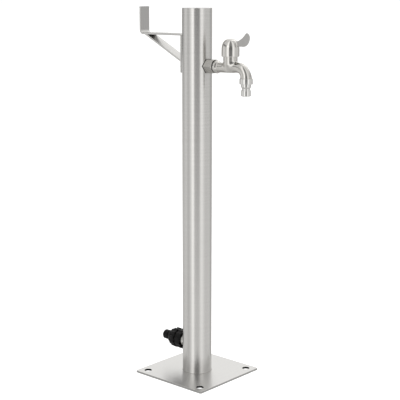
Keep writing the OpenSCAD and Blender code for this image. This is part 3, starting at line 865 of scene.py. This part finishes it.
# ------------------------------------------------------------------ ring nut and quick nipple
lathe("ring_nut", [
    (NUT_Z - 13.5, 12.5), (NUT_Z - 13.5, 16.4, 0.6), (NUT_Z, 16.4, 0.6), (NUT_Z, 13.26, 0.3), (NUT_Z - 11.9, 13.26), (NUT_Z - 11.9, 12.5)],
    (0, SPOUT_Y, 0), "Z", MAT["polish"], ROOT, ("spout_union_nut",), nth=160, n=5)
lathe("hose_nipple", [
    (NUT_Z - 10.1, 6.5, 0.3), (NUT_Z - 10.1, 13.2, 0.2), (NUT_Z - 11.8, 13.2), (NUT_Z - 11.8, 12.42), (NUT_Z - 20.6, 12.42, 0.8), (NUT_Z - 22.2, 10.9, 0.6),
    (NUT_Z - 23.9, 10.15, 1.0), (NUT_Z - 26.1, 10.15, 1.0), (NUT_Z - 27.9, 11.0, 0.6), (NUT_Z - 29.2, 12.0, 0.7), (NUT_Z - 41.7, 12.0, 0.7), (NUT_Z - 42.6, 11.1, 0.4), (NUT_Z - 42.6, 6.5, 0.5)],
    (0, SPOUT_Y, 0), "Z", MAT["polish"], ROOT, ("quick_nipple",), nth=160, n=5)


# ------------------------------------------------------------------ inlet
def threaded_stub():
    nth, pitch, depth = 96, 2.309, 1.1
    th = np.arange(nth) / nth
    st = [(17.0, 8.1), (17.0, 15.4)]
    for y in np.arange(17.6, 59.4, pitch / 10):
        ph = (y / pitch + th) % 1.0
        tri = 1 - np.abs(2 * ph - 1)
        ridge = np.clip(tri * 1.25 - 0.12, 0, 1)
        ridge = ridge * ridge * (3 - 2 * ridge)
        fade = min(1.0, (y - 17.0) / 2.0, (60.0 - y) / 1.6)
        st.append((y, 16.6 - depth + depth * ridge * max(fade, 0.0)))
    st += [(59.7, 15.3), (60.0, 14.9), (60.0, 8.0)]
    v, f = radial_mesh(st, nth, (0, 0, IN_Z), "Y")
    return make("inlet_thread", v, f, MAT["stub"], ROOT, ("inlet_stub",), 60)


threaded_stub()


def lug_radius(nth, base, tall, count, width, shift=0.5):
    """Radius of a ring with rounded grip lugs."""
    th = np.arange(nth) * 360.0 / nth
    d = np.abs((th - shift * 360 / count + 180 / count) % (360 / count) - 180 / count)
    k = np.clip((width / 2 - d) / (width * 0.28), 0, 1)
    return base + (tall - base) * (k * k * (3 - 2 * k))


def collar():
    nth, count = 360, 12
    one = lug_radius(nth, 23.6, 25.8, count, 19)
    two = lug_radius(nth, 23.9, 26.1, count, 19)
    three = lug_radius(nth, 21.6, 22.9, count, 17)
    full = np.full(nth, 1.0)
    st = [(43.0, 16.7), (43.0, one - 1.4), (43.15, one - 0.8), (43.5, one - 0.3), (44.2, one)]
    st += [(49.0, one), (54.0, one), (58.4, one), (59.3, one - 0.25), (59.7, one - 0.8), (59.9, 22.6 * full), (60.2, 21.9 * full), (63.3, 21.9 * full), (63.6, 22.6 * full)]
    st += [(63.8, two - 0.9), (64.2, two - 0.3), (65.0, two), (68.0, two), (72.0, two), (75.2, two), (76.1, two - 0.3), (76.8, two - 1.1), (77.2, two - 2.1), (77.4, 21.2 * full), (78.3, 21.0 * full)]
    st += [(78.5, three - 0.6), (79.0, three), (81.0, three), (83.6, three), (84.6, three - 0.5), (85.5, three - 1.4), (86.3, 20.0 * full)]
    st += [(87.4, 18.6 * full), (88.5, 17.3 * full), (89.4, 16.1 * full), (90.0, 15.2 * full), (90.0, 13.3 * full)]
    st += [(66.1, 13.3), (66.1, 16.7)]
    v, f = radial_mesh(st, nth, (0, 0, IN_Z), "Y")
    return make("coupling_grip", v, f, MAT["plastic"], ROOT, ("coupling_collar",), 38)


collar()
lathe("coupling_stem", [
    (63, 6.5), (63, 16.4, 0.3), (66, 16.4, 0.3), (66, 13.0), (94, 13.0, 0.9), (94, 11.0, 0.5), (98.6, 11.0, 0.5), (98.6, 12.6, 0.7), (104.5, 12.6, 0.3), (104.5, 10.1), (107.1, 10.1),
    (107.1, 12.6, 0.3), (114.1, 12.6, 1.7), (114.1, 6.5, 0.8)], (0, 0, IN_Z), "Y", MAT["plastic"], ROOT, ("coupling_nipple",), nth=160, n=5)


# ------------------------------------------------------------------ finishes of the carried-over nodes
FINISH = {
    "hanger_welds": "hanger", "hanger_studs": "fastener", "hanger_washers": "fastener",
    "outlet_gasket": "rubber", "outlet_saddle_washer": "fastener", "outlet_locknut": "brass", "outlet_elbow": "brass",
    "cartridge_body": "brass", "cartridge_seal": "rubber", "ceramic_disc_fixed": "ceramic", "ceramic_disc_moving": "ceramic",
    "cartridge_spindle": "brass", "spindle_o_ring": "rubber", "spindle_clip": "fastener", "handle_grub_screw": "oxide",
    "spout_washer": "rubber", "riser_nuts": "brass", "riser_seals": "rubber", "riser_tails": "brass", "riser_ferrules": "fastener", "riser_hose": "braid",
    "inlet_elbow": "brass", "inlet_weld": "stub", "coupling_washer": "rubber", "coupling_o_ring": "rubber",
}
for name, key in FINISH.items():
    ob = NODES[name]
    if not ob.material_slots:
        ob.data.materials.append(MAT[key])
    for s in ob.material_slots:
        s.material = MAT[key]


# ------------------------------------------------------------------ stage: pale floor, soft studio light
def floor():
    me = bpy.data.meshes.new("floor")
    n, r = 96, 60.0
    verts = [(0, 0, 0)]
    for ring in (0.6, 1.6, 4.0, 12.0, r):
        verts += [(ring * math.cos(2 * math.pi * k / n), ring * math.sin(2 * math.pi * k / n), 0) for k in range(n)]
    faces = [(0, 1 + k, 1 + (k + 1) % n) for k in range(n)]
    for s in range(4):
        a, b = 1 + s * n, 1 + (s + 1) * n
        faces += [(a + k, b + k, b + (k + 1) % n, a + (k + 1) % n) for k in range(n)]
    me.from_pydata(verts, [], faces)
    ob = bpy.data.objects.new("floor", me)
    bpy.context.scene.collection.objects.link(ob)
    g = Graph("floor_paper")
    g.bsdf.inputs["Base Color"].default_value = (0.86, 0.86, 0.86, 1)
    g.bsdf.inputs["Roughness"].default_value = 0.9
    g.bsdf.inputs["Emission Color"].default_value = (1, 1, 1, 1)
    g.bsdf.inputs["Emission Strength"].default_value = 0.42
    me.materials.append(g.mat)
    ob.location.z = -0.0004
    ob.visible_glossy = False


floor()


def studio():
    """Upright light and dark panels all round, seen by reflection, and a lit ceiling."""
    world = bpy.data.worlds.new("studio")
    bpy.context.scene.world = world
    world.use_nodes = True
    nt = world.node_tree
    nt.nodes.clear()
    g = Graph.__new__(Graph)
    g.nt, g.coord = nt, None
    out = nt.nodes.new("ShaderNodeOutputWorld")
    direction = nt.nodes.new("ShaderNodeTexCoord").outputs["Generated"]

    def dot(v):
        n = nt.nodes.new("ShaderNodeVectorMath")
        n.operation = "DOT_PRODUCT"
        nt.links.new(direction, n.inputs[0])
        n.inputs[1].default_value = v
        return n.outputs["Value"]

    front = dot((-SIDE.x, -SIDE.y, 0))
    right = dot((0.66649, -0.74551, 0))
    high = dot((0, 0, 1))
    around = g.span(g.maths("ARCTAN2", right, front), -math.pi, math.pi, 0.0, 1.0)

    def panels(stops):
        """Light all round at one height: degrees to the right of the camera, light."""
        ramp = nt.nodes.new("ShaderNodeValToRGB")
        ramp.color_ramp.interpolation = "LINEAR"
        el = ramp.color_ramp.elements
        el[0].position, el[1].position = 0.0, 1.0
        for k, (deg, v) in enumerate(stops):
            e = el[0] if k == 0 else el[len(el) - 1] if k == len(stops) - 1 else el.new((deg + 180) / 360)
            e.color = (v / 2, v / 2, v / 2, 1)
        nt.links.new(around, ramp.inputs[0])
        return g.maths("MULTIPLY", ramp.outputs[0], 2.0)

    def mixed(f, a, b):
        n = nt.nodes.new("ShaderNodeMix")
        n.data_type = "FLOAT"
        g.put(n.inputs[0], f)
        g.put(n.inputs[2], a)
        g.put(n.inputs[3], b)
        return n.outputs[0]

    # level with the camera: two soft boxes beside a dark gap, plainer walls further round
    eye = panels([(-180, 0.90), (-150, 0.66), (-134, 0.48), (-116, 0.62), (-108, 0.92), (-90, 0.98), (-80, 0.80), (-70, 0.70), (-61, 0.80), (-52, 1.05), (-42, 1.38), (-33, 1.56), (-27, 1.52), (-20, 0.24), (-6, 0.20), (14, 0.17), (19, 0.28), (25, 1.10), (34, 1.34), (44, 1.25), (54, 0.86), (62, 0.78), (104, 0.78), (114, 0.60), (134, 0.50), (150, 0.66), (180, 0.90)])
    # near the floor the gap fills with light
    down = panels([(-180, 0.68), (-150, 0.72), (-131, 0.74), (-116, 0.82), (-104, 0.84), (-90, 0.84), (-76, 0.72), (-66, 0.74), (-54, 0.88), (-45, 1.08), (-36, 1.42), (-28, 1.36), (-19, 1.03), (-8, 0.95), (6, 0.92), (16, 1.00), (27, 1.12), (36, 1.18), (46, 1.10), (60, 0.92), (72, 0.84), (92, 0.84), (106, 0.86), (122, 0.74), (140, 0.54), (180, 0.50)])
    # a band above the camera: darker in front of the object, bright behind it
    up = panels([(-180, 1.08), (-168, 1.05), (-152, 0.26), (-116, 0.28), (-70, 0.31), (-54, 0.80), (-44, 1.80), (-34, 1.90), (-25, 1.35), (-14, 0.23), (14, 0.21), (25, 1.1), (40, 1.28), (54, 0.84), (84, 0.60), (114, 0.45), (140, 0.45), (152, 0.70), (164, 1.05), (180, 1.08)])
    # higher still: the same uprights, with plain light between them
    top = panels([(-180, 1.08), (-160, 1.05), (-138, 0.84), (-110, 0.80), (-70, 0.80), (-58, 0.90), (-46, 1.30), (-35, 1.50), (-27, 1.40), (-18, 0.34), (14, 0.30), (22, 0.80), (32, 1.25), (44, 1.15), (56, 0.86), (100, 0.80), (116, 1.05), (128, 1.60), (146, 1.60), (158, 1.20), (180, 1.08)])
    level = mixed(g.span(high, -0.16, -0.07, 0.0, 1.0), down, eye)
    level = mixed(g.span(high, 0.18, 0.27, 0.0, 1.0), level, up)
    level = mixed(g.span(high, 0.36, 0.46, 0.0, 1.0, smooth=True), level, top)
    level = mixed(g.span(high, 0.975, 1.0, 0.0, 1.0, smooth=True), level, 0.80)
    level = mixed(g.span(high, -0.75, -0.40, 1.0, 0.0, smooth=True), level, 0.62)
    bg = nt.nodes.new("ShaderNodeBackground")
    nt.links.new(level, bg.inputs["Strength"])
    bg.inputs["Color"].default_value = (1.0, 0.995, 0.985, 1)
    white = nt.nodes.new("ShaderNodeBackground")
    white.inputs["Color"].default_value = (1, 1, 1, 1)
    white.inputs["Strength"].default_value = 1.05
    seen = nt.nodes.new("ShaderNodeLightPath")
    mix = nt.nodes.new("ShaderNodeMixShader")
    nt.links.new(seen.outputs["Is Camera Ray"], mix.inputs[0])
    nt.links.new(bg.outputs[0], mix.inputs[1])
    nt.links.new(white.outputs[0], mix.inputs[2])
    nt.links.new(mix.outputs[0], out.inputs["Surface"])


studio()


def soft_light(name, place, aim, size, power):
    data = bpy.data.lights.new(name, "AREA")
    data.shape = "RECTANGLE"
    data.size, data.size_y = size
    data.energy = power
    ob = bpy.data.objects.new(name, data)
    bpy.context.scene.collection.objects.link(ob)
    ob.location = place
    ob.rotation_mode = "QUATERNION"
    ob.rotation_quaternion = (Vector(aim) - Vector(place)).to_track_quat("-Z", "Y")
    ob.visible_glossy = False
    return ob


soft_light("overhead", (-0.6, -0.4, 3.2), (0, 0, 0.4), (2.6, 2.6), 45)

bpy.context.scene.view_settings.view_transform = "Standard"
bpy.context.scene.view_settings.look = "None"
